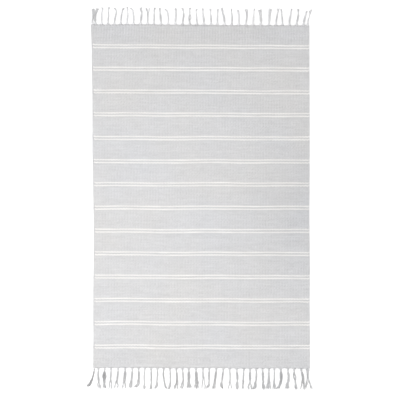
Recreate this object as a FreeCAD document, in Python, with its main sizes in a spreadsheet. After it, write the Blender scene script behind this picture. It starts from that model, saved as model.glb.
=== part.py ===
import FreeCAD, Part
import math
import os
import Sketcher

# A flat-woven cotton bath mat with a knotted fringe at both short ends.
#
# Row frame: X across the mat, Y along it, Z up, millimetres. The origin is under the middle of
# the cloth, on the floor. The far end is at +Y and the near end at -Y.
#
# The cloth is weft-faced: soft weft goes over and under a layer of thin warp threads and hides
# them. Each stretch of weft of one colour is a flat sleeve, and the threads run through its
# slot. Fourteen pairs of thin white lines cross the grey ground. The grey weft is carried up
# the left selvedge past each white line, so the white stops short of that edge. At both ends
# the threads are gathered, knotted against the cloth, and hang free as tassels.

DIMENSIONS = {
    "mat_width": 600,  # across the cloth, over both selvedges
    "cloth_thick": 5,  # over both faces of the weft
    "pick_pitch": 2,  # length of cloth that one pick of weft fills
    "near_end_picks": 26,  # picks in the grey band at the near end
    "far_end_picks": 27,
    "band_picks": 26,  # picks in a grey band between two pairs of white lines
    "line_picks": 2,  # picks in a white line
    "core_picks": 2,  # grey picks between the two white lines of a pair
    "slot_height": 1.6,  # the space in the weft that the threads lie in
    "slot_wall": 1.8,  # weft wrapped round the outermost thread
    "carry_width": 4,  # grey weft carried up the left selvedge
    "warp_pitch": 4.34,  # from one warp thread to the next
    "warp_diameter": 1.4,
    "gather_length": 3.5,  # from the end of the cloth to a knot
    "knot_diameter": 5,
    "knot_cut_angle": 55,  # degrees from a knot's waist to its flat ends
    "tie_width": 2.2,  # a gathered bundle where it goes into its knot
    "root_width": 3.6,  # a tassel where it leaves its knot
    "root_height": 3,
    "tip_width": 6.5,  # a tassel where it spreads at its tip
    "tip_height": 2.4,
    "near_reach": 57,  # from the end of the cloth to the tips of the tassels
    "far_reach": 45,
}

PAIRS = 14  # pairs of white lines
WARPS = 136  # warp threads, apart from those doubled at the edges
EDGE_STEPS = (0.62, 0.97)  # the doubled edge threads, in pitches outside the outermost warp
NEAR_GROUPS = "25354544444444445445445444443544522"  # threads in each tassel, left to right
FAR_GROUPS = "244444445445454545445454555445452"
LEAN = 4.5  # degrees that a tassel leans to one side or the other
SPLAY = 9.0  # degrees that the outermost tassel leans outwards
SPLAY_FADE = 1.6  # tassels over which the splay dies away
SHORTEST = 0.9  # the shortest tassel, as a share of the longest
CUT_MARGIN = 1.0  # how far a cutting block stands outside the cloth

doc = FreeCAD.newDocument("bath_mat")
sheet = doc.addObject("Spreadsheet::Sheet", "dims")
for row, (alias, value) in enumerate(DIMENSIONS.items(), start=1):
    sheet.set(f"A{row}", alias)
    sheet.set(f"B{row}", str(value))
    sheet.setAlias(f"B{row}", alias)
doc.recompute()

nodes = []  # the object of each sub-part


def size(alias):
    """A driving dimension."""
    return float(sheet.get(alias))


def bind(thing, expressions):
    """Binds properties of an object to the sheet."""
    for name, expression in expressions.items():
        thing.setExpression(name, expression)


def finish_node(thing, name):
    """Makes an object a sub-part, with the Label that names its file."""
    thing.Label = name
    nodes.append(thing)


def group_node(name, members):
    """A sub-part of several separate solids."""
    group = doc.addObject("Part::Compound", name + "_group")
    group.Links = members
    finish_node(group, name)


# ---- where the stretches of weft lie

def picks(counts):
    """An expression for the length of cloth that these stretches of weft fill."""
    terms = [f"{count} * dims.{kind}_picks" for kind, count in counts.items()]
    return f"({' + '.join(terms)}) * dims.pick_pitch"


WHOLE = {"near_end": 1, "band": PAIRS - 1, "line": 2 * PAIRS, "core": PAIRS, "far_end": 1}
HALF_LENGTH = f"{picks(WHOLE)} / 2"
laid = dict.fromkeys(WHOLE, 0)


def next_stretch(kind):
    """Expressions for the start and the length of the next stretch, from the near end on."""
    start = f"{picks(laid)} - {HALF_LENGTH}"
    laid[kind] += 1
    return start, f"dims.{kind}_picks * dims.pick_pitch"


# ---- the weft

def rectangle(half, low, high):
    """The corners of an upright rectangle about the middle, anticlockwise from the lowest left."""
    places = ((-half, low), (half, low), (half, high), (-half, high))
    return [FreeCAD.Vector(x, z, 0) for x, z in places]


def measure(sketch, kind, points, value, expression):
    """A dimension of a sketch, bound to the sheet."""
    index = sketch.addConstraint(Sketcher.Constraint(kind, *points, value))
    sketch.setExpression(f"Constraints[{index}]", expression)


def draw_outline(sketch):
    """The cloth's own cross-section: flat faces and half-round selvedges."""
    thick = size("cloth_thick")
    radius = thick / 2
    flat = size("mat_width") / 2 - radius
    normal = FreeCAD.Vector(0, 0, 1)
    corners = rectangle(flat, 0, thick)
    bottom = sketch.addGeometry(Part.LineSegment(corners[0], corners[1]))
    right_circle = Part.Circle(FreeCAD.Vector(flat, radius, 0), normal, radius)
    right = sketch.addGeometry(Part.ArcOfCircle(right_circle, -math.pi / 2, math.pi / 2))
    top = sketch.addGeometry(Part.LineSegment(corners[2], corners[3]))
    left_circle = Part.Circle(FreeCAD.Vector(-flat, radius, 0), normal, radius)
    left = sketch.addGeometry(Part.ArcOfCircle(left_circle, math.pi / 2, 3 * math.pi / 2))
    for first, second in ((bottom, right), (right, top), (top, left), (left, bottom)):
        sketch.addConstraint(Sketcher.Constraint("Tangent", first, 2, second, 1))
    sketch.addConstraint(Sketcher.Constraint("Symmetric", bottom, 1, bottom, 2, -2))
    sketch.addConstraint(Sketcher.Constraint("PointOnObject", bottom, 1, -1))
    sketch.addConstraint(Sketcher.Constraint("Horizontal", top))
    width = "dims.mat_width - dims.cloth_thick"
    measure(sketch, "DistanceX", (bottom, 1, bottom, 2), 2 * flat, width)
    measure(sketch, "DistanceY", (bottom, 2, top, 1), thick, "dims.cloth_thick")


def draw_slot(sketch):
    """The slot that the threads lie in, half way up the section."""
    half = size("mat_width") / 2 - size("slot_wall")
    low = (size("cloth_thick") - size("slot_height")) / 2
    high = low + size("slot_height")
    corners = rectangle(half, low, high)
    sides = []
    for start, end in zip(corners, corners[1:] + corners[:1]):
        sides.append(sketch.addGeometry(Part.LineSegment(start, end)))
    for first, second in zip(sides, sides[1:] + sides[:1]):
        sketch.addConstraint(Sketcher.Constraint("Coincident", first, 2, second, 1))
    floor, right, roof, left = sides
    sketch.addConstraint(Sketcher.Constraint("Symmetric", floor, 1, floor, 2, -2))
    sketch.addConstraint(Sketcher.Constraint("Vertical", right))
    sketch.addConstraint(Sketcher.Constraint("Vertical", left))
    sketch.addConstraint(Sketcher.Constraint("Horizontal", roof))
    width = "dims.mat_width - 2 * dims.slot_wall"
    wall = "(dims.cloth_thick - dims.slot_height) / 2"
    measure(sketch, "DistanceX", (floor, 1, floor, 2), 2 * half, width)
    measure(sketch, "DistanceY", (-1, 1, floor, 1), low, wall)
    measure(sketch, "DistanceY", (right, 1, right, 2), high - low, "dims.slot_height")


def sleeve(name, start, length):
    """A stretch of weft across the whole cloth."""
    body = doc.addObject("PartDesign::Body", name)
    plane = next(item for item in body.Origin.OriginFeatures if item.Role == "XZ_Plane")
    section = body.newObject("Sketcher::SketchObject", name + "_section")
    section.AttachmentSupport = (plane, [""])
    section.MapMode = "FlatFace"
    draw_outline(section)
    draw_slot(section)
    pad = body.newObject("PartDesign::Pad", name + "_pad")
    pad.Profile = section
    pad.Reversed = True  # a section in the XZ plane faces -Y
    bind(pad, {"Length": length})
    bind(body, {"Placement.Base.y": start})
    return body


def grey_stretch(name, kind):
    """A stretch of ground weft, whole from selvedge to selvedge."""
    start, length = next_stretch(kind)
    finish_node(sleeve(name, start, length), name)


def white_stretch(name):
    """A white line, and the grey weft that is carried past its left end."""
    start, length = next_stretch("line")
    block = doc.addObject("Part::Box", name + "_edge")
    bind(block, {
        "Length": f"dims.carry_width + {CUT_MARGIN}",
        "Width": length,
        "Height": "dims.cloth_thick",
        "Placement.Base.x": f"-dims.mat_width / 2 - {CUT_MARGIN}",
        "Placement.Base.y": start,
    })
    white = doc.addObject("Part::Cut", name + "_white")
    white.Base = sleeve(name + "_across", start, length)
    white.Tool = block
    carried = doc.addObject("Part::Common", name + "_carried")
    carried.Base = sleeve(name + "_round", start, length)
    carried.Tool = block
    return white, carried


def weave():
    """The whole cloth but its threads, laid from the near end to the far end."""
    carried_pieces = []
    for pair in range(1, PAIRS + 1):
        grey_stretch(f"grey_band_{pair:02d}", "near_end" if pair == 1 else "band")
        first, first_carried = white_stretch(f"line_{pair:02d}_near")
        grey_stretch(f"pair_core_{pair:02d}", "core")
        second, second_carried = white_stretch(f"line_{pair:02d}_far")
        group_node(f"white_pair_{pair:02d}", [first, second])
        carried_pieces += [first_carried, second_carried]
    grey_stretch(f"grey_band_{PAIRS + 1:02d}", "far_end")
    group_node("carried_weft", carried_pieces)


# ---- the warp

def thread_steps():
    """Every thread's place across the cloth, in pitches from the middle, left to right."""
    outermost = (WARPS - 1) / 2
    regular = [index - outermost for index in range(WARPS)]
    right_edge = [outermost + step for step in EDGE_STEPS]
    left_edge = [-step for step in reversed(right_edge)]
    return left_edge, regular, right_edge


LEFT_EDGE, REGULAR, RIGHT_EDGE = thread_steps()
THREADS = LEFT_EDGE + REGULAR + RIGHT_EDGE


def threads(name, steps):
    """Straight threads through the slot, from one end of the cloth to the other."""
    members = []
    for index, step in enumerate(steps):
        thread = doc.addObject("Part::Cylinder", f"{name}_{index}")
        thread.Placement.Rotation = FreeCAD.Rotation(FreeCAD.Vector(1, 0, 0), -90)
        bind(thread, {
            "Radius": "dims.warp_diameter / 2",
            "Height": picks(WHOLE),
            "Placement.Base.x": f"{step:.2f} * dims.warp_pitch",
            "Placement.Base.y": f"-{HALF_LENGTH}",
            "Placement.Base.z": "dims.cloth_thick / 2",
        })
        members.append(thread)
    group_node(name, members)


# ---- the fringe

KNOT_LENGTH = "dims.knot_diameter * sin(dims.knot_cut_angle * 1deg)"
KNOTTED = f"(dims.gather_length + {KNOT_LENGTH})"  # the reach that the gathers and knots use


def tapered(name, turn, root, tip, length, place):
    """A bundle that tapers from root to tip. Each end is its width, its underside and its top.
    place is its root's X and Y, and turn its bearing in degrees from +Y."""
    bundle = doc.addObject("Part::Wedge", name)
    bundle.Placement.Rotation = FreeCAD.Rotation(FreeCAD.Vector(0, 0, 1), turn)
    bind(bundle, {
        "Xmin": f"-({root[0]}) / 2",
        "Xmax": f"({root[0]}) / 2",
        "Zmin": root[1],
        "Zmax": root[2],
        "X2min": f"-({tip[0]}) / 2",
        "X2max": f"({tip[0]}) / 2",
        "Z2min": tip[1],
        "Z2max": tip[2],
        "Ymin": "0",
        "Ymax": length,
        "Placement.Base.x": place[0],
        "Placement.Base.y": place[1],
    })
    return bundle


def knot(name, x, y):
    """A knot: a ball with a flat end where the bundle goes in and another where it comes out."""
    ball = doc.addObject("Part::Sphere", name)
    ball.Placement.Rotation = FreeCAD.Rotation(FreeCAD.Vector(1, 0, 0), -90)
    bind(ball, {
        "Radius": "dims.knot_diameter / 2",
        "Angle1": "-dims.knot_cut_angle",
        "Angle2": "dims.knot_cut_angle",
        "Placement.Base.x": x,
        "Placement.Base.y": y,
        "Placement.Base.z": "dims.cloth_thick / 2",
    })
    return ball


def centred(height):
    """The underside and the top of something half way up the cloth."""
    return f"(dims.cloth_thick - {height}) / 2", f"(dims.cloth_thick + {height}) / 2"


def lean(index, count, side):
    """A tassel's bearing: uneven along the row, and outwards near the corners."""
    from_left, from_right = index, count - 1 - index
    outwards = SPLAY * (math.exp(-from_left / SPLAY_FADE) - math.exp(-from_right / SPLAY_FADE))
    inner = 1 - math.exp(-min(from_left, from_right) / SPLAY_FADE)
    return side * outwards + LEAN * inner * math.sin(2.4 * index + side)


def fringe(end, side, groups, reach):
    """The gathered bundles, knots and tassels at one end; side is 1 at +Y and -1 at -Y."""
    facing = 0 if side > 0 else 180
    edge = f"{side} * {HALF_LENGTH}"
    warp_levels = centred("dims.warp_diameter")
    gathers, knots, tassels = [], [], []
    gathered = 0
    for index, held in enumerate(map(int, groups)):
        first = THREADS[gathered]
        gathered += held
        last = THREADS[gathered - 1]
        middle = f"{(first + last) / 2:.3f} * dims.warp_pitch"
        span = f"{last - first:.2f} * dims.warp_pitch + dims.warp_diameter"
        gathers.append(tapered(
            f"{end}_gather_{index}", facing, (span, *warp_levels), ("dims.tie_width", *warp_levels),
            "dims.gather_length", (middle, edge)))
        knots.append(knot(
            f"{end}_knot_{index}", middle,
            f"{edge} + {side} * (dims.gather_length + {KNOT_LENGTH} / 2)"))
        bearing = lean(index, len(groups), side)
        corner = f"dims.root_width / 2 * {abs(math.sin(math.radians(bearing))):.4f}"
        root = f"({KNOTTED} + {corner})"  # so that the nearer corner of a root meets its knot
        share = 1 - (1 - SHORTEST) * (0.5 + 0.5 * math.sin(3.7 * index))
        tassels.append(tapered(
            f"{end}_tassel_{index}", facing + bearing,
            ("dims.root_width", *centred("dims.root_height")),
            ("dims.tip_width", "0", "dims.tip_height"),
            f"({reach} - {root}) * {share:.3f}", (middle, f"{edge} + {side} * {root}")))
    group_node(f"{end}_gathers", gathers)
    group_node(f"{end}_knots", knots)
    group_node(f"{end}_tassels", tassels)


# ---- checks and files

def check_document():
    """Stops if any object failed, or if any sub-part isn't made of sound solids."""
    for thing in doc.Objects:
        if "Invalid" in thing.State or "Error" in thing.State:
            raise RuntimeError(f"{thing.Name} failed: {thing.State}")
    for thing in nodes:
        if thing.Shape.isNull() or not thing.Shape.isValid() or not thing.Shape.Solids:
            raise RuntimeError(f"{thing.Label} has no sound solid")


def check_weft():
    """Stops if the stretches of weft don't fill the cloth, with the slot left open in each."""
    radius = size("cloth_thick") / 2
    section = (size("mat_width") - 2 * radius) * 2 * radius + math.pi * radius ** 2
    section -= (size("mat_width") - 2 * size("slot_wall")) * size("slot_height")
    total_picks = sum(count * size(kind + "_picks") for kind, count in WHOLE.items())
    expected = section * total_picks * size("pick_pitch")
    weft = [thing for thing in nodes if thing.Label.startswith(("grey", "white", "pair", "carried"))]
    volume = sum(thing.Shape.Volume for thing in weft)
    if abs(volume - expected) > 1e-6 * expected:
        raise RuntimeError(f"the weft holds {volume:.1f} mm3, and {expected:.1f} mm3 was expected")


def write_files():
    """Writes each sub-part to its own file."""
    os.makedirs("parts", exist_ok=True)
    for thing in nodes:
        thing.Shape.exportStep(f"parts/{thing.Label}.step")
        print(f"{thing.Label}: {len(thing.Shape.Solids)} solids, {thing.Shape.Volume:.0f} mm3")


weave()
threads("warp_threads", REGULAR)
threads("left_edge_warps", LEFT_EDGE)
threads("right_edge_warps", RIGHT_EDGE)
fringe("near", -1, NEAR_GROUPS, "dims.near_reach")
fringe("far", 1, FAR_GROUPS, "dims.far_reach")
doc.recompute()
check_document()
check_weft()
write_files()
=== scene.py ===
import math

from typing import NamedTuple

import bpy
import numpy as np
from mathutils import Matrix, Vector


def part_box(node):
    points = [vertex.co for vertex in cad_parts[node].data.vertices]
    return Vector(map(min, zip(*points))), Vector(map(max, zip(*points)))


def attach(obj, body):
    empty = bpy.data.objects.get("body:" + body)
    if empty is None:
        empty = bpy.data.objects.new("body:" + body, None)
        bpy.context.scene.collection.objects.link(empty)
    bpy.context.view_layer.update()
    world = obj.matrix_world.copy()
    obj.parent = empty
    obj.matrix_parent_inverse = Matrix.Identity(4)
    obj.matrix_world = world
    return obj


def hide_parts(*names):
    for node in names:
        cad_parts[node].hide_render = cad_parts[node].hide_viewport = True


# A flat-woven cotton bath mat, laid out flat: every float of the weft on both faces, the warp
# threads inside, and their ends gathered, knotted and hanging loose at both ends.
#
# The cloth is worked out on a grid in the weave's own terms. Each of its points knows its thread,
# which counts floats from the left selvedge, and its row, which counts rows of weft from the near
# end. A row is two picks, one going over the odd threads and one over the even ones, so the
# floats of a row stand in a zigzag.

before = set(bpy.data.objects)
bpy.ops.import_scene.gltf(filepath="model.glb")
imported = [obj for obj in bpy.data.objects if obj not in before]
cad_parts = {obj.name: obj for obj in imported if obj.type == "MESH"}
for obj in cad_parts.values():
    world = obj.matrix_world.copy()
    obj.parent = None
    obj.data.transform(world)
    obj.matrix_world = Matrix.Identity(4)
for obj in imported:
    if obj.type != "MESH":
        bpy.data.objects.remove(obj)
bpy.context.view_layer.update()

MM = 0.001
TAU = 2 * math.pi
rng = np.random.default_rng(20)

# ---- sizes, from the CAD frame

FIRST_BAND_LOW, FIRST_BAND_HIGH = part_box("grey_band_01")
HALF_WIDTH = FIRST_BAND_HIGH.x
NEAR_EDGE = FIRST_BAND_LOW.y
FAR_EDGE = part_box("grey_band_15")[1].y
HALF_LENGTH = (FAR_EDGE - NEAR_EDGE) / 2
THICK = FIRST_BAND_HIGH.z
PAIRS = 14
NEAR_REACH = NEAR_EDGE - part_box("near_tassels")[0].y
FAR_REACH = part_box("far_tassels")[1].y - FAR_EDGE
WARP_RADIUS = 0.7 * MM

COLUMNS = 138  # floats across the cloth
COLUMN = 2 * HALF_WIDTH / COLUMNS
PICK = 2 * MM
ROW = 2 * PICK
PER_COLUMN = 4  # steps of the grid in one float
PER_ROW = 4
LINE_ROWS = 3  # of a pair of white lines and the grey between them
CORE = (0.36, 0.64)  # where that grey begins and ends, as shares of the three rows


def find_rows():
    """The y of every row's edge from the near end on, and how many rows each grey band has."""
    edges, counts = [NEAR_EDGE], []
    for number in range(1, PAIRS + 2):
        low, high = (corner.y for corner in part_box(f"grey_band_{number:02d}"))
        if number > 1:
            edges.extend(edges[-1] + (low - edges[-1]) * np.array([*CORE, 1]))
        picks = round((high - low) / PICK)
        counts.append((picks + 1) // 2)
        edges.extend(np.linspace(low, high, counts[-1] + 1)[1:])
    return np.array(edges), counts


ROW_EDGES, BAND_ROWS = find_rows()
ROWS = len(ROW_EDGES) - 1

NEAR_GROUPS = "25354544444444445445445444443544522"  # threads in each tassel, left to right
FAR_GROUPS = "244444445445454545445454555445452"

# How the laid cloth strays from a rectangle, in millimetres at places along it from the near
# end (-1) to the far end (1): positive is to the right.
LEFT_SWAY = (
    (-1, 0.3), (-0.7, 1.1), (-0.25, 2.4), (0.05, 0.3), (0.3, -1.2), (0.56, -1.1), (0.82, -3.7),
    (1, -5.7))
RIGHT_SWAY = ((-1, 3.3), (-0.4, 2.2), (0.55, 2.3), (0.82, 1.5), (1, 1.2))
DROP = ((-1, 3.0), (-0.5, 1.6), (0.1, 0.4), (0.6, 2.6), (1, 3.4))  # right side below the left
# How far the rows lie towards the far end of where an even beat would put them.
BEAT = (
    (-1, 0), (-0.87, -0.1), (-0.7, 1.3), (-0.35, 2.4), (-0.13, 1.6), (0.07, 3.0), (0.3, 3.0),
    (0.47, 4.4), (0.75, 2.9), (0.88, 1.1), (1, 0))


# ---- smooth noise and curves

def smooth(share):
    """From 0 to 1 with level ends, as share goes from 0 to 1."""
    share = np.clip(share, 0, 1)
    return share * share * (3 - 2 * share)


def hump(places, middle, reach):
    """1 at the middle, falling off smoothly to 0 on both sides."""
    return np.exp(-((places - middle) / reach) ** 2)


def eased(places, points):
    """A smooth curve through (place, value) points, level at each of them."""
    stops, values = np.array(points, float).T
    places = np.clip(places, stops[0], stops[-1])
    after = np.clip(np.searchsorted(stops, places, "right"), 1, len(stops) - 1)
    share = smooth((places - stops[after - 1]) / (stops[after] - stops[after - 1]))
    return values[after - 1] * (1 - share) + values[after] * share


def spread(count, cell):
    """Weights that carry values one cell apart smoothly to count places."""
    places = np.arange(count) / cell
    before = places.astype(int)
    share = smooth(places - before)
    weights = np.zeros((count, before[-1] + 2))
    weights[np.arange(count), before] = 1 - share
    weights[np.arange(count), before + 1] = share
    return weights


def noise(rows, columns, row_cell, column_cell):
    """Smooth noise between about -1 and 1; a cell is the distance between random values."""
    down, across = spread(rows, row_cell), spread(columns, column_cell)
    values = rng.uniform(-1, 1, (down.shape[1], across.shape[1]))
    return down @ values @ across.T


def make_waves(count, shortest, longest, crosswise):
    """A smooth field of sine waves, mostly between -1 and 1, as a function of x and y.
    crosswise is 1 for waves that run across the cloth, 0 for waves that run along it."""
    parts = []
    for _ in range(count):
        length = rng.uniform(shortest, longest)
        turn = rng.uniform(-0.5, 0.5) + (1 - crosswise) * math.pi / 2
        phase = rng.uniform(0, TAU)
        step = TAU / length
        parts.append((step * math.cos(turn), step * math.sin(turn), phase))

    def field(x, y):
        total = sum(np.sin(x * across + y * along + phase) for across, along, phase in parts)
        return total / math.sqrt(count)

    return field


# ---- how the cloth lies

line_waves = make_waves(7, 0.11, 0.42, 1)
row_waves = make_waves(5, 0.15, 0.5, 0)
rib_waves = make_waves(6, 0.12, 0.5, 0)
long_lifts = make_waves(7, 0.09, 0.26, 0)
cross_lifts = make_waves(7, 0.09, 0.26, 1)
# How far the ribs and the rows wander, in millimetres.
RIB_STRAY = 0.35
LINE_STRAY = 0.5
ROW_STRAY = 0.35
# How far the cloth lies off the floor, and the ripples in that, in millimetres.
LIFT = 0.5
RIPPLE = 0.22
CREASE_HEIGHT = 0.6 * MM
CREASE_WIDTH = 7 * MM
CREASE_AT = 0.4 * MM  # to the right of the middle
CREASE_SWAY = 0.6 * MM
CREASE_BEND = 0.13  # length of cloth for each radian of its sway


def lay(x, y):
    """Where points of the flat cloth come to lie: x, y, and how far they are off the floor."""
    along = y / HALF_LENGTH
    right = 0.5 + x / (2 * HALF_WIDTH)
    sway = eased(along, LEFT_SWAY) * (1 - right) + eased(along, RIGHT_SWAY) * right
    laid_x = x + (sway + RIB_STRAY * rib_waves(x, y)) * MM
    drop = eased(along, DROP) * (0.5 - right)
    beat = eased(along, BEAT)
    strays = LINE_STRAY * line_waves(x, y) + ROW_STRAY * row_waves(x, y)
    laid_y = y + (drop + beat + strays) * MM
    lift = (LIFT + RIPPLE * long_lifts(x, y) + RIPPLE * cross_lifts(x, y)).clip(0, None) * MM
    centre_line = CREASE_SWAY * np.sin(y / CREASE_BEND) + CREASE_AT
    lift = lift + CREASE_HEIGHT * hump(x, centre_line, CREASE_WIDTH)
    return laid_x, laid_y, lift


# ---- the woven faces

ROW_DEPTH = 0.75 * MM  # of the groove between two floats one above the other
COLUMN_DEPTH = 0.8 * MM  # of the groove between two ribs
SLUB_DEPTH = 0.22 * MM  # by which thick yarn stands out
VALLEY = 0.4  # of the row groove's depth that is left between two ribs
PAINTED_SHADE_DEPTH = 1.5  # painted shade: how much darker the yarn's colour is made about the middle of the right side, where the light falls off
PAINTED_SHADE_AT = (0.3, -0.03)
PAINTED_SHADE_REACH = (0.18, 0.21)
ZIGZAG = ROW / 4  # of a float, up or down from its row
WANDER = 0.3 * MM  # of a row's edge
WANDER_CELL = 26  # grid lines from one random value of that to the next
SLUBS = ((9, 1), (2, 0.7))  # layers of noise along a pick: floats in a cell, and strength
SHADES = ((14, 0.6), (3, 0.6))
# How high a float stands at its four grid lines: across the ribs, and across the rows.
RIB_ARCH = np.array([0, 0.86, 1, 0.86])
FLOAT_ARCH = np.array([0, 0.9, 1, 0.9])
ZIGZAG_SHARE = np.array([0, 0.96, 1, 0.96])
EDGE_ANGLES = np.radians([0, 38, 66, 90])  # round a selvedge, from its middle to the flat face


def per_line(cells, steps, axis):
    """Values of the grid's lines from values of the floats between them."""
    cells = np.repeat(cells, steps, axis)
    before = np.concatenate([cells.take([0], axis), cells], axis)
    after = np.concatenate([cells, cells.take([-1], axis)], axis)
    return (before + after) / 2


def lines_between(values, steps):
    """Values of every line across the cloth from those of the rows' edges."""
    whole = np.arange(len(values))
    places = np.linspace(0, len(values) - 1, (len(values) - 1) * steps + 1)
    before = np.minimum(places.astype(int), len(values) - 2)
    share = (places - whole[before])[:, None]
    return values[before] * (1 - share) + values[before + 1] * share


def edge_profile():
    """For each line along the cloth: its x, and how much of the thickness is left there."""
    lines = COLUMNS * PER_COLUMN + 1
    x = np.linspace(-HALF_WIDTH, HALF_WIDTH, lines)
    fullness = np.ones(lines)
    inset = THICK / 2 * (1 - np.cos(EDGE_ANGLES))
    x[:PER_COLUMN] = -HALF_WIDTH + inset
    x[-PER_COLUMN:] = (HALF_WIDTH - inset)[::-1]
    fullness[:PER_COLUMN] = np.sin(EDGE_ANGLES)
    fullness[-PER_COLUMN:] = np.sin(EDGE_ANGLES)[::-1]
    return x, fullness


def pick_noise(layers):
    """Noise for every float of every pick."""
    return sum(strength * noise(2 * ROWS, COLUMNS, 1, cell) for cell, strength in layers)


def weave_faces():
    """The grids of both faces. Each is its points and the tone of its yarn."""
    x_line, fullness = edge_profile()
    columns = len(x_line)
    y_line = lines_between(ROW_EDGES[:, None], PER_ROW)[:, 0]
    thick_yarn = pick_noise(SLUBS)
    tone_yarn = pick_noise(SHADES)
    wander = lines_between(noise(ROWS + 1, columns, 1, WANDER_CELL) * WANDER, PER_ROW)
    # Painted shade about the middle of the right side, put into the yarn's tone.
    painted_shade_across = hump(x_line, PAINTED_SHADE_AT[0], PAINTED_SHADE_REACH[0])
    painted_shade = hump(y_line, PAINTED_SHADE_AT[1], PAINTED_SHADE_REACH[1])[:, None] * painted_shade_across
    parity = np.arange(COLUMNS) % 2
    rib = np.append(np.tile(RIB_ARCH, COLUMNS), 0)
    row = np.append(np.tile(FLOAT_ARCH, ROWS), 0)
    swing = np.append(np.tile(ZIGZAG_SHARE, COLUMNS), 0)
    faces = []
    for side in (1, -1):
        over_odd = parity if side > 0 else 1 - parity
        pick = 2 * np.arange(ROWS)[:, None] + over_odd
        yarn = np.take_along_axis(thick_yarn, pick, 0)
        tone = np.take_along_axis(tone_yarn, pick, 0)
        stands = per_line(per_line(yarn, PER_ROW, 0), PER_COLUMN, 1)
        # the yarn's tone, less the painted shade about the middle of the right side
        tone = per_line(per_line(tone, PER_ROW, 0), PER_COLUMN, 1) - PAINTED_SHADE_DEPTH * painted_shade
        way = per_line((2 * over_odd - 1)[None, :], PER_COLUMN, 1)
        row_groove = ROW_DEPTH * (1 - row[:, None]) * (VALLEY + (1 - VALLEY) * rib)
        groove = COLUMN_DEPTH * (1 - rib) + row_groove
        groove = groove - SLUB_DEPTH * stands * rib * row[:, None]
        faces.append([side, groove, tone, ZIGZAG * way * swing])
    shared = (faces[0][1] + faces[1][1]) / 2
    shared_tone = (faces[0][2] + faces[1][2]) / 2
    made = []
    for side, groove, tone, zigzag in faces:
        for end in (0, -1):
            groove[:, end] = shared[:, end]
            tone[:, end] = shared_tone[:, end]
        outwards = np.sign(x_line) * np.sqrt(1 - fullness ** 2)
        x, y, lift = lay(x_line - outwards * groove, y_line[:, None] + zigzag + wander)
        z = lift + THICK / 2 + side * (THICK / 2 - groove) * fullness
        made.append((np.stack([x, y, z.clip(0, None)], -1), tone))
    return made


(TOP, TOP_TONE), (UNDER, UNDER_TONE) = weave_faces()


# ---- meshes

class Build:
    """Gathers the points and faces of one piece."""

    def __init__(self):
        self.points, self.faces, self.values = [], [], []
        self.count = 0

    def add(self, points, faces, **values):
        """Adds points, faces that number them from 0, and named values, one for each point."""
        self.points.append(np.asarray(points, float).reshape(-1, 3))
        self.faces += [np.asarray(part) + self.count for part in faces if len(part)]
        self.values.append(values)
        self.count += len(self.points[-1])

    def finish(self, name, slot, nodes):
        """The Blender object, riding on the mat and standing for these CAD nodes."""
        points = np.concatenate(self.points)
        loops = np.concatenate([part.ravel() for part in self.faces])
        sizes = np.concatenate([np.full(len(part), part.shape[1]) for part in self.faces])
        used, loops = np.unique(loops, return_inverse=True)
        mesh = bpy.data.meshes.new(name)
        mesh.vertices.add(len(used))
        mesh.vertices.foreach_set("co", points[used].astype(np.float32).ravel())
        mesh.loops.add(len(loops))
        mesh.loops.foreach_set("vertex_index", loops.astype(np.int32))
        mesh.polygons.add(len(sizes))
        starts = np.concatenate([[0], np.cumsum(sizes)[:-1]])
        mesh.polygons.foreach_set("loop_start", starts.astype(np.int32))
        mesh.update(calc_edges=True)
        mesh.shade_smooth()
        for key in self.values[0]:
            values = np.concatenate([np.ravel(part[key]) for part in self.values])[used]
            layer = mesh.attributes.new(key, "FLOAT", "POINT")
            layer.data.foreach_set("value", values.astype(np.float32))
        mesh.materials.append(MATERIALS[slot])
        piece = bpy.data.objects.new(name, mesh)
        bpy.context.scene.collection.objects.link(piece)
        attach(piece, "root")
        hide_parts(*nodes)
        return piece


def split_flat(quads):
    """Quads and triangles from quads of which some have one corner twice."""
    left = quads[:, 0] == quads[:, 3]
    right = quads[:, 1] == quads[:, 2]
    triangles = np.concatenate([quads[left][:, [0, 1, 2]], quads[right][:, [0, 1, 3]]])
    return quads[~(left | right)], triangles


END_BULGE = 0.7 * MM  # of the last pick, past the end of its grid


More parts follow.
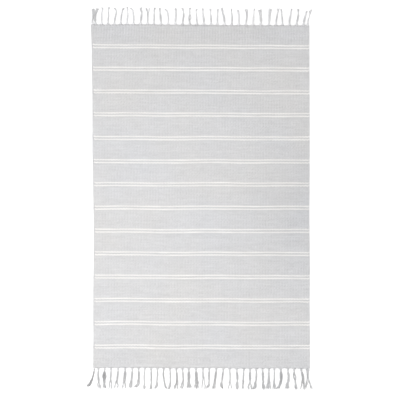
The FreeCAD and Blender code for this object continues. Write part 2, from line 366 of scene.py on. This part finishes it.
def add_cloth(build, first_row, rows, first_column=0, columns=COLUMNS):
    """Adds a closed stretch of cloth: both faces, and the walls round it."""
    down = slice(first_row * PER_ROW, (first_row + rows) * PER_ROW + 1)
    across = slice(first_column * PER_COLUMN, (first_column + columns) * PER_COLUMN + 1)
    top, under = TOP[down, across], UNDER[down, across]
    high, wide = top.shape[:2]
    top_at = np.arange(high * wide).reshape(high, wide)
    under_at = top_at + high * wide
    middle_at = top_at + 2 * high * wide
    middle = (top + under) / 2
    for end, outermost in ((0, across.start == 0), (-1, across.stop == TOP.shape[1])):
        if outermost:
            under_at[:, end] = middle_at[:, end] = top_at[:, end]
    if first_row == 0:
        middle[0, :, 1] -= END_BULGE
    if first_row + rows == ROWS:
        middle[-1, :, 1] += END_BULGE
    quads = np.stack([top_at[:-1, :-1], top_at[:-1, 1:], top_at[1:, 1:], top_at[1:, :-1]], -1)
    flip = [under_at[1:, :-1], under_at[1:, 1:], under_at[:-1, 1:], under_at[:-1, :-1]]
    walls = []
    sides = [(0, slice(None)), (slice(None), -1), (-1, slice(None, None, -1))]
    sides.append((slice(None, None, -1), 0))
    for place in sides:
        upper, centre, lower = top_at[place], middle_at[place], under_at[place]
        if (upper == lower).all():
            continue
        for below, above in ((lower, centre), (centre, upper)):
            walls.append(np.stack([below[:-1], below[1:], above[1:], above[:-1]], -1))
    walls, corners = split_flat(np.concatenate(walls))
    faces = [quads.reshape(-1, 4), np.stack(flip, -1).reshape(-1, 4), walls, corners]
    tones = TOP_TONE[down, across], UNDER_TONE[down, across]
    thread = np.arange(across.start, across.stop) / PER_COLUMN
    row = np.arange(down.start, down.stop) / PER_ROW
    thread, row = np.meshgrid(thread, row)
    build.add(
        np.stack([top, under, middle]), faces,
        tone=np.stack([*tones, sum(tones) / 2]), thread=np.stack([thread] * 3),
        row=np.stack([row] * 3))


def tube(path, radius, sides, lobes=0.0, pitch=1.0, start=0.0):
    """Points and faces of a closed tube along path. lobes is how much two opposite sides stand
    out, as in a thread of two plies, and pitch is the length of one turn of the twist."""
    path = np.asarray(path, float)
    count = len(path)
    ahead = np.gradient(path, axis=0)
    ahead /= np.linalg.norm(ahead, axis=1, keepdims=True)
    normal = np.empty_like(path)
    normal[0] = np.cross(ahead[0], (0.31, 0.2, 0.93))
    normal[0] /= np.linalg.norm(normal[0])
    for index in range(1, count):
        carried = normal[index - 1] - ahead[index] * (normal[index - 1] @ ahead[index])
        normal[index] = carried / np.linalg.norm(carried)
    other = np.cross(ahead, normal)
    run = np.concatenate([[0], np.cumsum(np.linalg.norm(np.diff(path, axis=0), axis=1))])
    angle = np.arange(sides) / sides * TAU
    turned = angle[None, :] + (start + TAU * run / pitch)[:, None]
    reach = np.broadcast_to(radius, count)[:, None] * (1 + lobes * np.cos(2 * angle))[None, :]
    ring = path[:, None] + reach[..., None] * (
        np.cos(turned)[..., None] * normal[:, None] + np.sin(turned)[..., None] * other[:, None])
    at = np.arange(count * sides).reshape(count, sides)
    beside = np.roll(at, -1, 1)
    body = np.stack([at[:-1], beside[:-1], beside[1:], at[1:]], -1).reshape(-1, 4)
    caps = []
    for tip, order in ((0, -1), (count - 1, 1)):
        centre = count * sides + (0 if tip == 0 else 1)
        fan = [np.full(sides, centre), at[tip], beside[tip]][::order]
        caps.append(np.stack(fan, -1))
    points = np.concatenate([ring.reshape(-1, 3), path[[0, -1]]])
    return points, [body, np.concatenate(caps)], np.append(np.repeat(run, sides), run[[0, -1]])


def add_tube(build, path, radius, sides, tone=0.0, **shape):
    """Adds a tube. Every point knows the tone of its yarn and its place along it."""
    points, faces, run = tube(path, radius, sides, **shape)
    build.add(points, faces, tone=np.full(len(points), tone), run=run)


# ---- materials

SEAM_SHARPNESS = 6.0  # how narrow the shaded seam between two floats is


class Nodes:
    """A short way to write a material's node tree."""

    def __init__(self, name):
        self.material = bpy.data.materials.new(name)
        self.material.use_nodes = True
        self.tree = self.material.node_tree
        self.shader = self.tree.nodes["Principled BSDF"]

    def connect(self, source, socket):
        """Sets a socket to a number, or links it to another node's output."""
        if isinstance(source, (int, float, tuple)):
            socket.default_value = source
        else:
            self.tree.links.new(source, socket)

    def math(self, operation, *values):
        """The output of a math node."""
        node = self.tree.nodes.new("ShaderNodeMath")
        node.operation = operation
        for value, socket in zip(values, node.inputs):
            self.connect(value, socket)
        return node.outputs[0]

    def attribute(self, name):
        """A value that every point of the mesh carries."""
        node = self.tree.nodes.new("ShaderNodeAttribute")
        node.attribute_name = name
        return node.outputs["Fac"]

    def noise(self, stretch, scale, detail=2.0, roughness=0.5):
        """Noise over the object, from about -1 to 1; stretch scales x, y and z first."""
        place = self.tree.nodes.new("ShaderNodeTexCoord").outputs["Object"]
        mapping = self.tree.nodes.new("ShaderNodeMapping")
        mapping.inputs["Scale"].default_value = stretch
        self.connect(place, mapping.inputs["Vector"])
        node = self.tree.nodes.new("ShaderNodeTexNoise")
        self.connect(mapping.outputs[0], node.inputs["Vector"])
        self.connect(scale, node.inputs["Scale"])
        self.connect(detail, node.inputs["Detail"])
        self.connect(roughness, node.inputs["Roughness"])
        return self.math("MULTIPLY_ADD", node.outputs["Fac"], 4.0, -2.0)

    def seam(self, name):
        """1 where the attribute is a whole number, falling off quickly to 0 on both sides."""
        wave = self.math("COSINE", self.math("MULTIPLY", self.attribute(name), TAU))
        return self.math("POWER", self.math("MULTIPLY_ADD", wave, 0.5, 0.5), SEAM_SHARPNESS)

    def tinted(self, colour, cool, brightness):
        """The colour times a brightness, with a share of the cooler colour mixed in."""
        mix = self.tree.nodes.new("ShaderNodeMix")
        mix.data_type = "RGBA"
        mix.inputs["A"].default_value = (*colour, 1)
        mix.inputs["B"].default_value = (*cool, 1)
        self.connect(self.math("MULTIPLY_ADD", self.noise((1, 1, 1), 5.0), 0.5, 0.5),
                     mix.inputs["Factor"])
        scale = self.tree.nodes.new("ShaderNodeVectorMath")
        scale.operation = "SCALE"
        self.connect(mix.outputs["Result"], scale.inputs[0])
        self.connect(brightness, scale.inputs["Scale"])
        return scale.outputs[0]

    def bump(self, height, distance, under=None):
        """The surface's normal with this relief added, on top of the relief under it."""
        node = self.tree.nodes.new("ShaderNodeBump")
        node.inputs["Distance"].default_value = distance
        self.connect(height, node.inputs["Height"])
        if under:
            self.connect(under, node.inputs["Normal"])
        return node.outputs[0]

    def finish(self, colour, normal, sheen):
        """Dry cotton of this colour."""
        self.connect(colour, self.shader.inputs["Base Color"])
        self.connect(normal, self.shader.inputs["Normal"])
        self.shader.inputs["Roughness"].default_value = 0.95
        self.shader.inputs["Specular IOR Level"].default_value = 0.25
        self.shader.inputs["Sheen Weight"].default_value = sheen
        self.shader.inputs["Sheen Roughness"].default_value = 0.5
        return self.material


STRANDS = 4.0  # loose strands side by side in one float of weft
SLANT = 1.5  # strands that they climb by along one float
STRAND_WAVER = 0.22
THREAD_SEAM = 0.3  # of the seam between two ribs, beside that between two rows
WEFT_LIGHT = 0.94
TONE_LIGHT = 0.055  # how much each of these adds to the yarn's brightness; the seams' and the strands' shares are painted shade in their grooves
SEAM_PAINTED_SHADE = -0.11
FIBRE_LIGHT = 0.035
STRAND_PAINTED_SHADE = 0.018
SEAM_RELIEF = 0.2 * MM
STRAND_RELIEF = 0.09 * MM
FIBRE_RELIEF = 0.04 * MM
FUZZ_RELIEF = 0.1 * MM


def weft_material(name, colour, cool, mottle):
    """Soft cotton weft: strands that run across the cloth, with mottled, slightly fuzzy yarn."""
    nodes = Nodes(name)
    fibres = nodes.noise((0.16, 1, 1), 2600.0, 4.0, 0.65)
    fuzz = nodes.noise((1, 1, 1), 1400.0, 3.0)
    mottled = nodes.noise((0.3, 1, 1), 230.0, 2.0)
    strand_at = nodes.math("MULTIPLY_ADD", nodes.noise((1, 1, 1), 330.0), STRAND_WAVER,
                           nodes.math("MULTIPLY", nodes.attribute("row"), STRANDS))
    slant = nodes.math("MULTIPLY_ADD", nodes.attribute("thread"), SLANT, strand_at)
    strand = nodes.math("SINE", nodes.math("MULTIPLY", slant, TAU))
    seam = nodes.math("MAXIMUM", nodes.seam("row"),
                      nodes.math("MULTIPLY", nodes.seam("thread"), THREAD_SEAM))
    # The tone carries the yarn's random unevenness and the painted shade about the middle of the
    # right side.
    brightness = nodes.math("MULTIPLY_ADD", nodes.attribute("tone"), TONE_LIGHT, WEFT_LIGHT)
    # painted shade in the seams between floats, fainter between ribs
    brightness = nodes.math("MULTIPLY_ADD", seam, SEAM_PAINTED_SHADE, brightness)
    brightness = nodes.math("MULTIPLY_ADD", fibres, FIBRE_LIGHT, brightness)
    brightness = nodes.math("MULTIPLY_ADD", mottled, mottle, brightness)
    # painted shade between the strands, darkest where their relief is lowest
    brightness = nodes.math("MULTIPLY_ADD", strand, STRAND_PAINTED_SHADE, brightness)
    relief = nodes.bump(nodes.math("MULTIPLY", seam, -1.0), SEAM_RELIEF)
    relief = nodes.bump(strand, STRAND_RELIEF, relief)
    relief = nodes.bump(fibres, FIBRE_RELIEF, relief)
    relief = nodes.bump(fuzz, FUZZ_RELIEF, relief)
    return nodes.finish(nodes.tinted(colour, cool, brightness), relief, 0.06)


def warp_material(name, colour, cool):
    """Plied cotton thread, a little uneven in tone along its length."""
    nodes = Nodes(name)
    fibres = nodes.noise((1, 0.3, 1), 3000.0, 3.0)
    patches = nodes.noise((1, 0.4, 1), 120.0)
    # The tone carries the fringe's painted shade and painted light, with the yarn's random
    # unevenness.
    brightness = nodes.math("MULTIPLY_ADD", nodes.attribute("tone"), 0.1, 1.0)
    brightness = nodes.math("MULTIPLY_ADD", fibres, 0.1, brightness)
    brightness = nodes.math("MULTIPLY_ADD", patches, 0.06, brightness)
    return nodes.finish(nodes.tinted(colour, cool, brightness), nodes.bump(fibres, 0.0001), 0.08)


MATERIALS = {  # for each slot of the record
    "grey_weft": weft_material("grey_cotton", (0.605, 0.598, 0.594), (0.592, 0.596, 0.614), 0.045),
    "white_weft": weft_material("white_cotton", (0.832, 0.815, 0.797), (0.823, 0.815, 0.806), 0.02),
    "warp": warp_material("warp_cotton", (0.550, 0.546, 0.546), (0.540, 0.545, 0.556)),
}


# ---- the weft

CARRIED = 1  # columns of grey weft carried up past the white


def cloth_piece(name, slot, stretches, nodes, first_column=0, columns=COLUMNS):
    """One piece made of stretches of cloth, each a first row and a number of rows."""
    build = Build()
    for first_row, rows in stretches:
        add_cloth(build, first_row, rows, first_column, columns)
    return build.finish(name, slot, nodes)


def lay_weft():
    """Every stretch of weft, from the near end on. Gives the pieces of each band's cloth."""
    bands, carried_rows = [], []
    at = 0
    for number, rows in enumerate(BAND_ROWS, start=1):
        node = f"grey_band_{number:02d}"
        band = cloth_piece("weft_" + node, "grey_weft", [(at, rows)], [node])
        at += rows
        bands.append((band, []))
        if number > PAIRS:
            break
        node = f"white_pair_{number:02d}"
        white_rows = [(at, 1), (at + 2, 1)]
        white = cloth_piece(
            "weft_" + node, "white_weft", white_rows, [node], CARRIED, COLUMNS - CARRIED)
        node = f"pair_core_{number:02d}"
        core = cloth_piece("weft_" + node, "grey_weft", [(at + 1, 1)], [node])
        bands[-1][1].extend((white, core))
        carried_rows += white_rows
        at += LINE_ROWS
    carried = cloth_piece("weft_carried", "grey_weft", carried_rows, ["carried_weft"], 0, CARRIED)
    return bands, carried


bands, carried = lay_weft()


# ---- the warp

EDGE_INSETS = np.array([2.85, 4.37]) * MM  # of the two threads laid together at a selvedge
MIDDLE = THICK / 2
THREAD_STOPS = 81  # points along a thread inside the cloth


def thread_places():
    """Every thread's x in the flat cloth, left to right."""
    inner = (np.arange(1, COLUMNS - 1) + 0.5) * COLUMN - HALF_WIDTH
    left = EDGE_INSETS - HALF_WIDTH
    return np.concatenate([left, inner, -left[::-1]])


THREADS = thread_places()


def thread_piece(name, places):
    """The threads at these places, inside the cloth from end to end."""
    build = Build()
    y = np.linspace(NEAR_EDGE, FAR_EDGE, THREAD_STOPS)
    for place in places:
        x, laid_y, lift = lay(place, y)
        add_tube(build, np.stack([x, laid_y, lift + MIDDLE], -1), WARP_RADIUS, 5)
    return build.finish("thread_" + name, "warp", [name])


threads = [
    thread_piece("left_edge_warps", THREADS[:2]),
    thread_piece("warp_threads", THREADS[2:-2]),
    thread_piece("right_edge_warps", THREADS[-2:]),
]


# ---- the fringe
#
# Each tassel is listed, left to right, as millimetres that its tip lies to the right of its
# root, millimetres that its middle bows to the right, how wide it spreads at the tip, how full
# it is, and how its threads part: together, in a fork, in a deep fork that starts near the root,
# as a brush, as a thick brush, in a loop that closes again, round a bulge, or with a tip that
# turns left or right.

NEAR_TASSELS = (
    (-16, 1, 5, 1.9, "thick brush"), (2, -1, 4.5, 0.5, "fork"), (0.5, -1.5, 4.5, 1.7, "bulge"),
    (-2.5, 0, 6.5, 0.5, "fork"), (-6, 0, 8, 0.9, "fork"), (-3.5, 0, 7.5, 1, "fork"),
    (-5, 0.5, 5, 1, "brush"), (-5, 2.5, 6, 1, "left"), (-1, -1.5, 1, 0.4, "together"),
    (-1, 1, 1.5, 0.5, "together"), (-4, 1, 3, 0.5, "left"), (7, -2.5, 1.5, 0.5, "together"),
    (-2.5, 2, 2, 0.5, "together"), (0, 2, 7, 0.7, "fork"), (-3, 2.5, 5, 0.6, "fork"),
    (1, 0, 8.5, 1.4, "brush"), (2, 1, 8.5, 1, "brush"), (2.5, 0, 6.5, 0.5, "deep fork"),
    (-2, 0, 3, 0.8, "left"), (-6, -1, 5, 0.7, "together"), (-6, -1, 3.5, 0.8, "right"),
    (1, 1, 7.5, 0.6, "fork"), (1, 1.5, 4, 0.7, "together"), (-2.5, -0.5, 2.5, 0.5, "together"),
    (0, 0, 6, 1.1, "fork"), (-5, 1.5, 5, 0.6, "left"), (2, 1, 4, 1, "together"),
    (-1.5, 0, 10.5, 0.8, "brush"), (-1, 0, 5, 0.7, "brush"), (-5, 3, 4, 1, "left"),
    (-3, 3.5, 8, 0.9, "brush"), (7, 0, 3.5, 0.7, "loop"), (3, 4.5, 8, 0.8, "fork"),
    (-3, 3, 1.5, 0.6, "together"), (8, -2, 0.5, 0.5, "together"))
FAR_TASSELS = (
    (3.5, 1, 7, 1.6, "thick brush"), (5, -3, 5, 1.7, "thick brush"),
    (1, -0.5, 0.5, 0.8, "together"), (2, 0, 0, 0.8, "together"), (6, 1, 3, 0.9, "left"),
    (4, 0.5, 2, 0.8, "right"), (1.5, 1, 1, 0.7, "together"), (-3, 2, 1, 0.8, "left"),
    (2, 2, 4.5, 1, "fork"), (0, 0.5, 8.5, 0.8, "fork"), (1.5, 0, 0, 0.7, "together"),
    (-3.5, -1, 4, 1, "fork"), (-3, 1, 3, 0.8, "left"), (2, 0, 4.5, 0.9, "brush"),
    (1.5, 2, 1.5, 0.9, "together"), (0.5, 0, 1.5, 0.8, "loop"), (-1.5, -0.5, 1, 0.8, "together"),
    (-4, 0, 0.5, 0.8, "together"), (-1.5, 0, 2, 1.1, "together"),
    (1.5, -0.5, 1.5, 0.8, "together"), (-6.5, 0, 3.5, 0.9, "together"),
    (-1.5, 2, 1, 0.8, "together"), (-1, 1, 5, 0.9, "brush"), (1.5, 2, 6, 0.9, "fork"),
    (3.5, 0, 1, 0.8, "together"), (-2.5, 0.5, 8.5, 1.2, "brush"), (3.5, 1, 7, 1, "brush"),
    (6, 0.5, 3, 0.8, "fork"), (-3, 0.5, 1, 0.8, "together"), (6.5, -0.5, 1.5, 0.8, "together"),
    (4.5, 2.5, 3, 1, "together"), (8.5, 0, 1.5, 0.9, "together"), (9, 0, 4, 1.3, "together"))
FAR_SHORT = {23: 4, 32: 6}  # the tassels that end short, and by how many millimetres
PARTING = {"deep fork": 0.25, "brush": 0.5, "thick brush": 0.4, "together": 0.5, "left": 0.6,
           "right": 0.6, "loop": 0.5, "bulge": 0.6, "fork": 0.6}  # where the threads start to part
PLIES = {"brush": 2, "thick brush": 5, "bulge": 3}  # that a thread has come apart into
CROWDED_PLY_SHADE = {"thick brush": -2.0, "bulge": -1.0}  # painted shade: darker tone where loose plies crowd together and shade one another

GATHER = 3.5 * MM  # from the cloth to a knot
GATHER_INSIDE = 2.5 * MM  # of the gathered threads, before they leave the cloth
GATHERED = (0.7 * MM, 0.6 * MM)  # how far they end from the knot's middle, sideways and up
KNOT_LENGTH = 4.1 * MM
KNOT_CORE = 1.35 * MM
WRAPS = 3  # round a knot
WRAP_TURN = 0.8  # turns that one of them makes
WRAP_APART = 1.15 * MM
WRAP_CLIMB = 0.5 * MM
WRAP_RADIUS = 1.65 * MM
WRAP_THREAD = 1.02 * MM
LOOP_OPENS = 3.2 * MM
OPENED = (0.36, 0.16)  # where along a tassel its loop or bulge is, and its reach
TIP_CURVE = 1.4  # power by which a tassel leans more towards its tip
SWAY = 0.7 * MM
STRAY = 0.25 * MM
HOOK_FROM = 0.84  # where a tip that turns left or right starts to
HOOK = 3.4 * MM
FLUFF_FROM = 0.7  # where a thread starts to loosen, and by how much it swells
FLUFF = 0.22
STEP = 1.0 * MM  # from one ring of a tassel's thread to the next
PLY_SHARE = 0.8  # radius of a loose ply, as a share of the thread's
FRAYED = 6  # fibres at a thread's cut end, shared by the plies it has come apart into
FRAYED_LENGTH = 6 * MM
FIBRE_RADIUS = 0.16 * MM
HAIR_RADIUS = 0.08 * MM
HAIR_EVERY = 8 * MM  # length of thread for each loose fibre on it
TWIST = 5 * MM  # length of one turn of a thread's plies
LOBES = 0.17  # how much its two plies stand out, as a share of its radius
LAY_DOWN = 9 * MM  # how far from its knot a tassel reaches the floor


class Yarn(NamedTuple):
    """How the fringe of one end looks."""
    radius: float  # of a thread
    loose: float  # how loosely a tassel's threads lie together, from 1
    spread: float  # added to how wide each tassel spreads
    parting: float  # added to how far from the root the threads start to part
    tone: float  # how light the yarn is: the near end's lower value is painted shade among its fuller tassels, the far end's higher value painted light
    gathered: float  # how light it is where it leaves the cloth: painted light that lifts the shade among the gathered threads


NEAR_YARN = Yarn(1.06 * MM, 2.15, 4.3, -0.2, -1.2, 2.5)
FAR_YARN = Yarn(0.97 * MM, 1.75, 1.8, -0.1, 1.3, 5.5)
KNOT_PAINTED_LIGHT = 1.6  # painted light: how much lighter a knot's yarn is made than that of its tassel, lifting the shade among its wraps


def gather(build, threads_x, middle, edge, side, tone):
    """Threads that leave the cloth and draw together into their knot."""
    share = np.linspace(0, 1, 9)
    reach = -GATHER_INSIDE + share * (GATHER + KNOT_LENGTH / 2 + GATHER_INSIDE)
    for index, place in enumerate(threads_x):
        x, y, lift = lay(place, edge)
        knot_x, knot_y, _ = lay(middle, edge)
        drawn = smooth(reach / GATHER)
        turn = TAU * index / len(threads_x)
        path_x = x + (knot_x + GATHERED[0] * math.cos(turn) - x) * drawn
        path_y = y + (knot_y - y) * drawn + side * reach
        path_z = lift + MIDDLE + GATHERED[1] * math.sin(turn) * drawn
        path = np.stack([path_x, path_y, path_z], -1)
        add_tube(build, path, WARP_RADIUS, 8, tone, lobes=LOBES, pitch=TWIST)


def tie_knot(build, centre, held, tone):
    """A small overhand knot: the bundle's threads wrapped round it aslant."""
    share = np.linspace(0, 1, 30)
    start = rng.uniform(0, TAU)
    slant = rng.uniform(0.5, 1.0) * rng.choice([-1, 1]) * MM
    for wrap in range(WRAPS):
        turn = start + TAU * (wrap / WRAPS + WRAP_TURN * share)
        along = (wrap - 1) * WRAP_APART + slant * np.sin(turn) + WRAP_CLIMB * (share - 0.5)
        swell = WRAP_RADIUS * (1 - 0.18 * abs(wrap - 1)) * (0.9 + 0.025 * held)
        x = centre[0] + swell * np.cos(turn)
        z = centre[2] + swell * 0.95 * np.sin(turn)
        path = np.stack([x, centre[1] + along, z], -1)
        path[:, 2] = path[:, 2].clip(WRAP_THREAD * 1.2, None)
        add_tube(build, path, WRAP_THREAD * (0.88 + 0.03 * held), 9, tone, lobes=0.1, pitch=4 * MM)
    inner = centre + np.linspace(-1, 1, 5)[:, None] * np.array([0, KNOT_LENGTH / 2, 0])
    add_tube(build, inner, KNOT_CORE, 8, tone)


def curl(start, turn, bend, length, share):
    """The x and y of a fibre that leaves start in one direction and bends to one side."""
    aside = bend * share ** 2
    x = start[0] + length * (share * math.cos(turn) - aside * math.sin(turn))
    y = start[1] + length * (share * math.sin(turn) + aside * math.cos(turn))
    return x, y


def fibres(build, end, ahead, count, longest, tone):
    """Fine fibres that fan out where a thread was cut."""
    bearing = math.atan2(ahead[1], ahead[0])
    share = np.linspace(0, 1, 5)
    for _ in range(count):
        turn = bearing + rng.normal(0, 0.4)
        bend = rng.normal(0, 0.5)
        length = longest * rng.uniform(0.35, 1)
        x, y = curl(end, turn, bend, length, share)
        z = (end[2] * (1 - 0.8 * share) + 0.4 * MM * rng.uniform(0, 1) * share).clip(0.2 * MM)
        radius = FIBRE_RADIUS * (1 - 0.55 * share)
        add_tube(build, np.stack([x, y, z], -1), radius, 3, tone)


def tassel_places(count, style, spread_width):
    """Where the threads of a tassel lie across its tip, in order, about its middle."""
    rank = np.linspace(-0.5, 0.5, count)
    if "fork" in style:
        rank = np.sign(rank + 1e-6) * (0.36 + 0.3 * np.abs(rank))
    return rank * spread_width


def hairs(build, path, radius, tone):
    """Fine loose fibres that stand off a thread along its length."""
    ahead = np.gradient(path, axis=0)
    share = np.linspace(0, 1, 4)
    for _ in range(int(len(path) * STEP / HAIR_EVERY)):
        at = rng.integers(4, len(path) - 1)
        bearing = math.atan2(ahead[at, 1], ahead[at, 0])
        turn = bearing + rng.uniform(0.15, 0.7) * rng.choice([-1, 1])
        bend = rng.normal(0, 0.9)
        length = rng.uniform(1.2, 4) * MM
        x, y = curl(path[at], turn, bend, length, share)
        z = path[at, 2] + radius * share * rng.uniform(-1, 0.8)
        z = z.clip(HAIR_RADIUS, None)
        add_tube(build, np.stack([x, y, z], -1), HAIR_RADIUS * (1 - 0.5 * share), 3, tone)


def add_tassel(build, root, side, held, reach, setting, yarn, tone):
    """The threads of one tassel, from its knot to their cut ends."""
    tip, bow, spread_width, fullness, style = setting
    tip, bow, spread_width = tip * MM, bow * MM, (spread_width + yarn.spread) * MM
    steps = int(reach / STEP)
    share = np.linspace(0, 1, steps)
    count = held * PLIES.get(style, 1)
    radius = yarn.radius * (PLY_SHARE if style in PLIES else 1)
    tip_places = tassel_places(count, style, spread_width - 2 * radius)
    parting = PARTING[style] + yarn.parting
    phase, twist = rng.uniform(0, TAU), rng.choice([-1, 1]) * rng.uniform(24, 38) * MM
    sway_x = SWAY * np.sin(TAU * share * rng.uniform(0.6, 1.6) + rng.uniform(0, TAU))
    middle_x = root[0] + tip * share ** TIP_CURVE + bow * np.sin(math.pi * share) + sway_x * share
    if style in ("left", "right"):
        hooked = ((share - HOOK_FROM) / (1 - HOOK_FROM)).clip(0, None) ** 2
        middle_x = middle_x + HOOK * (1 if style == "right" else -1) * hooked
    middle_y = root[1] + side * reach * (share - 0.5 * (tip / reach) ** 2 * share)
    bundle = yarn.radius * (0.35 + 0.36 * held)
    ring = (bundle - yarn.radius * 0.75) * yarn.loose * fullness
    settled = smooth(share * reach / LAY_DOWN)
    middle_z = root[2] + (bundle - root[2]) * settled
    fluffed = 1 + FLUFF * smooth((share - FLUFF_FROM) / (1 - FLUFF_FROM))
    lowest = radius * fluffed * (1 + LOBES)
    shuffled = rng.permutation(count)
    for index in range(count):
        turn = phase + TAU * index / count + TAU * share * reach / twist
        apart = smooth((share - parting - rng.uniform(-0.08, 0.08)) / (1.02 - parting))
        loose = STRAY * (0.4 + 2.2 * apart)
        strays = sum(
            np.sin(TAU * share * rng.uniform(1, 4.5) + rng.uniform(0, TAU)) for _ in range(2))
        ring_x = ring * np.cos(turn) * smooth(share * 5)
        opened = hump(share, *OPENED)
        if style == "loop":
            side_x = LOOP_OPENS * (1 if index % 2 else -1)
            ring_x = ring_x * (1 - 0.75 * opened) + side_x * opened
        if style == "bulge":
            ring_x = ring_x * (1 + opened)
        x_off = ring_x * (1 - apart) + tip_places[shuffled[index]] * apart
        z_off = bundle * 0.55 * np.sin(turn) * (1 - apart) + (radius - bundle) * apart
        x = middle_x + x_off + loose * strays * smooth(share * 4)
        z = (middle_z + z_off).clip(lowest, None)
        ends = steps - int(rng.uniform(0, 0.06) * steps)
        path = np.stack([x, middle_y, z], -1)[:ends]
        taper = fluffed[:ends].copy()
        taper[-2:] = (1.05, 0.7)
        # painted shade where loose plies crowd together, on top of the tassel's tone
        thread_tone = tone + CROWDED_PLY_SHADE.get(style, 0) + rng.normal(0, 0.35)
        add_tube(
            build, path, radius * taper, 8, thread_tone, lobes=LOBES, pitch=TWIST,
            start=rng.uniform(0, TAU))
        hairs(build, path, radius, thread_tone)
        frayed = FRAYED // PLIES.get(style, 1)
        fibres(build, path[-1], path[-1] - path[-3], frayed, FRAYED_LENGTH, thread_tone)


def fringe(end, side, groups, reach, settings, short, yarn):
    """The gathered threads, the knots and the tassels at one end."""
    edge = FAR_EDGE if side > 0 else NEAR_EDGE
    gathers, knots, tassels = Build(), Build(), Build()
    gathered = 0
    for number, (held, setting) in enumerate(zip(map(int, groups), settings, strict=True), 1):
        places = THREADS[gathered:gathered + held]
        gathered += held
        middle = (places[0] + places[-1]) / 2
        tone = yarn.tone + rng.normal(0, 0.5)
        # The gathered threads' tone is painted light.
        gather(gathers, places, middle, edge, side, yarn.gathered)
        x, y, lift = lay(middle, edge)
        knot_at = np.array([x, y + side * (GATHER + KNOT_LENGTH / 2), lift + MIDDLE])
        # The knot's yarn carries painted light.
        tie_knot(knots, knot_at, held, tone + KNOT_PAINTED_LIGHT)
        root = knot_at + np.array([0, side * (KNOT_LENGTH / 2 - 0.6 * MM), 0])
        length = reach - GATHER - KNOT_LENGTH + (rng.uniform(-1, 2) - short.get(number, 0)) * MM
        add_tassel(tassels, root, side, held, length, setting, yarn, tone)
    return [
        gathers.finish(f"gathered_threads_{end}", "warp", [f"{end}_gathers"]),
        knots.finish(f"fringe_knots_{end}", "warp", [f"{end}_knots"]),
        tassels.finish(f"fringe_tassels_{end}", "warp", [f"{end}_tassels"]),
    ]


near_fringe = fringe("near", -1, NEAR_GROUPS, NEAR_REACH, NEAR_TASSELS, {}, NEAR_YARN)
far_fringe = fringe("far", 1, FAR_GROUPS, FAR_REACH, FAR_TASSELS, FAR_SHORT, FAR_YARN)


# ---- the pieces that go with each grey band

def declare_cloth():
    """Lists, for each grey band, the pieces that go with it; the lists are not used."""
    for number, (band, lines) in enumerate(bands, start=1):
        going = list(lines)
        if number == 1:
            going += [carried, *threads, *near_fringe]
        if number > PAIRS:
            going += far_fringe


declare_cloth()


# ---- the floor, the lights and the camera

FLOOR = 6.0  # from its middle to its edge
FLOOR_COLOUR = (0.9, 0.9, 0.9)


def make_floor():
    """A plain pale floor with a very faint unevenness."""
    mesh = bpy.data.meshes.new("floor")
    corners = [(-FLOOR, -FLOOR, 0), (FLOOR, -FLOOR, 0), (FLOOR, FLOOR, 0), (-FLOOR, FLOOR, 0)]
    mesh.from_pydata(corners, [], [(0, 1, 2, 3)])
    floor = bpy.data.objects.new("floor", mesh)
    bpy.context.scene.collection.objects.link(floor)
    nodes = Nodes("pale_floor")
    faint = nodes.math("MULTIPLY_ADD", nodes.noise((1, 1, 1), 3.0), 0.01, 1.0)
    colour = nodes.tinted(FLOOR_COLOUR, FLOOR_COLOUR, faint)
    nodes.finish(colour, nodes.bump(nodes.noise((1, 1, 1), 60.0), 0.00005), 0.0)
    mesh.materials.append(nodes.material)


LIGHT_AT = Vector((-0.35, -0.25, 1.34))
LIGHT_SIZE = 0.6
LIGHT_POWER = 8.6
FILL = 1.12  # strength of the light from all round


def make_lights():
    """A soft lamp above the left side, and even light from all round."""
    lamp = bpy.data.lights.new("softbox", "AREA")
    lamp.shape = "DISK"
    lamp.size = LIGHT_SIZE
    lamp.energy = LIGHT_POWER
    light = bpy.data.objects.new("softbox", lamp)
    light.location = LIGHT_AT
    light.visible_camera = False
    bpy.context.scene.collection.objects.link(light)
    world = bpy.data.worlds.new("studio")
    world.use_nodes = True
    world.node_tree.nodes["Background"].inputs["Color"].default_value = (1, 1, 1, 1)
    world.node_tree.nodes["Background"].inputs["Strength"].default_value = FILL
    bpy.context.scene.world = world
    bpy.context.scene.view_settings.view_transform = "Standard"


FRAME_WIDTH = 1.11  # of floor in the picture
LENS = 120
SENSOR = 36
AIM = Vector((-0.002, -0.0096))


def make_camera():
    """Straight above the mat, looking down."""
    lens = bpy.data.cameras.new("camera")
    lens.lens = LENS
    lens.sensor_width = SENSOR
    lens.clip_end = 30
    camera = bpy.data.objects.new("camera", lens)
    camera.location = (*AIM, THICK + FRAME_WIDTH * LENS / SENSOR)
    bpy.context.scene.collection.objects.link(camera)
    bpy.context.scene.camera = camera


make_floor()
make_lights()
make_camera()
